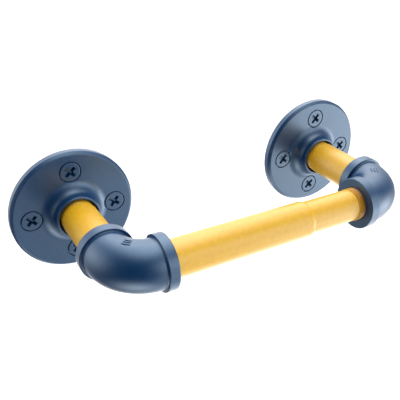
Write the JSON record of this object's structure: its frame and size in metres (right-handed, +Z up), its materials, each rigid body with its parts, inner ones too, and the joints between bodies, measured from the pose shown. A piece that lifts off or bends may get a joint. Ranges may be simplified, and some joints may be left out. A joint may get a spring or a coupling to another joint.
{
  "type": "toilet paper holder",
  "caption": "Wall-mounted toilet paper holder made of pipe fittings: flanges, nipples and elbows carry a sprung telescopic bar.",
  "frame": {"origin": "on the wall plane, midway between the centres of the two flanges", "axes": "+X along the bar to the right as seen from the room, +Y into the wall, +Z up"},
  "size_m": [0.252, 0.1073, 0.075],
  "materials": {
    "cast_blue": "satin powder coat on cast iron, slate blue",
    "screw_blue": "satin coat on steel screws, slate blue",
    "pipe_yellow": "satin golden yellow coat on steel pipe",
    "bar_yellow": "satin golden yellow coat on thin steel tube",
    "thread_yellow": "dark golden cut screw thread",
    "cap_nylon": "black moulded nylon",
    "plain_steel": "turned zinc plated steel",
    "spring_steel": "drawn spring wire"
  },
  "bodies": {
    "wall_frame": {"left_wall_flange": "cast_blue", "right_wall_flange": "cast_blue", "left_flange_screw_top": "screw_blue", "left_flange_screw_right": "screw_blue", "left_flange_screw_bottom": "screw_blue", "left_flange_screw_left": "screw_blue", "right_flange_screw_top": "screw_blue", "right_flange_screw_right": "screw_blue", "right_flange_screw_bottom": "screw_blue", "right_flange_screw_left": "screw_blue", "left_nipple": "pipe_yellow", "right_nipple": "pipe_yellow", "left_elbow": "cast_blue", "right_elbow": "cast_blue", "bar_inner_tube": "bar_yellow", "bar_threaded_end": "thread_yellow", "inner_tube_stop_ring": "plain_steel"},
    "spring_group": {"bar_spring": "spring_steel", "spring_washer": "plain_steel"},
    "sleeve": {"bar_sleeve": "bar_yellow", "sleeve_end_cap": "cap_nylon"}
  },
  "joints": [
    {"name": "sleeve_spin", "type": "hinge", "parent": "wall_frame", "child": "spring_group", "pos_m": [0, -0.0783, 0], "axis": [1, 0, 0], "continuous": true},
    {"name": "sleeve_slide", "type": "slide", "parent": "spring_group", "child": "sleeve", "axis": [1, 0, 0], "range_m": [0, 0.015], "stiffness_N_per_m": 400, "springref_m": -0.015, "deforming": ["bar_spring"]}
  ]
}
